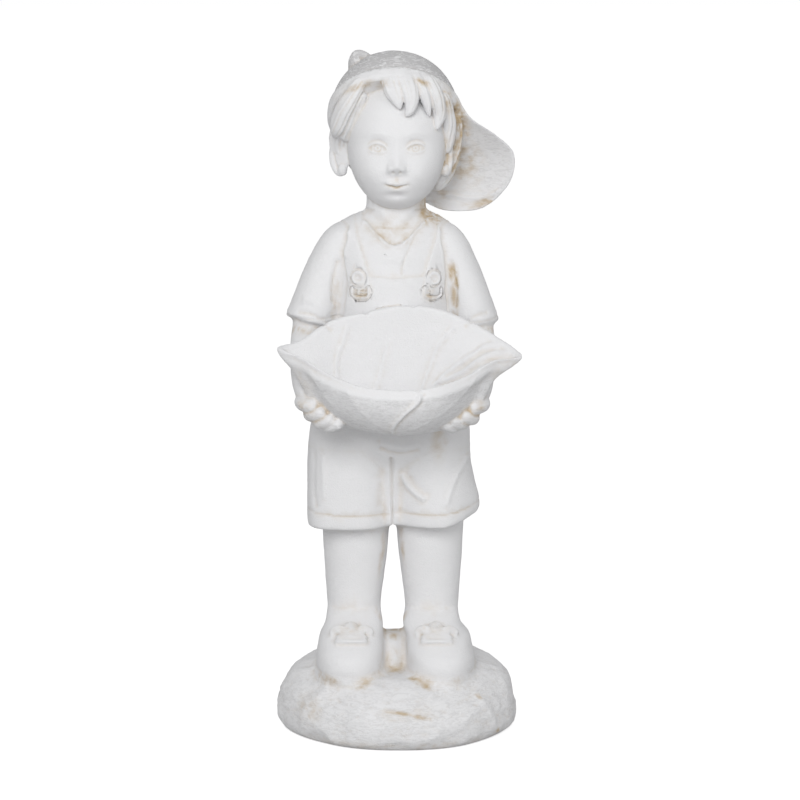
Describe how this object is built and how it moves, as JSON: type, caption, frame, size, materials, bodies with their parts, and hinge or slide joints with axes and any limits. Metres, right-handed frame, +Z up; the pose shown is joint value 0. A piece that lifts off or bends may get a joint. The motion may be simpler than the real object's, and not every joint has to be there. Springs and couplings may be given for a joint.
{
  "type": "boy statue",
  "caption": "Cast garden figure of a boy in a peaked cap and dungarees, standing on a rounded rock mound and holding a broad leaf as a shallow dish.",
  "frame": {"origin": "middle of the mound's flat underside", "axes": "+Z up; the boy faces -Y; +X to the right of someone who looks at the boy's face"},
  "size_m": [0.1909, 0.221, 0.5303],
  "materials": {
    "cast_stone": "matte off-white cast with a fine brushed grain and an ochre wash in the hollows"
  },
  "bodies": {
    "root": {"boy_statue": "cast_stone"}
  },
  "joints": []
}
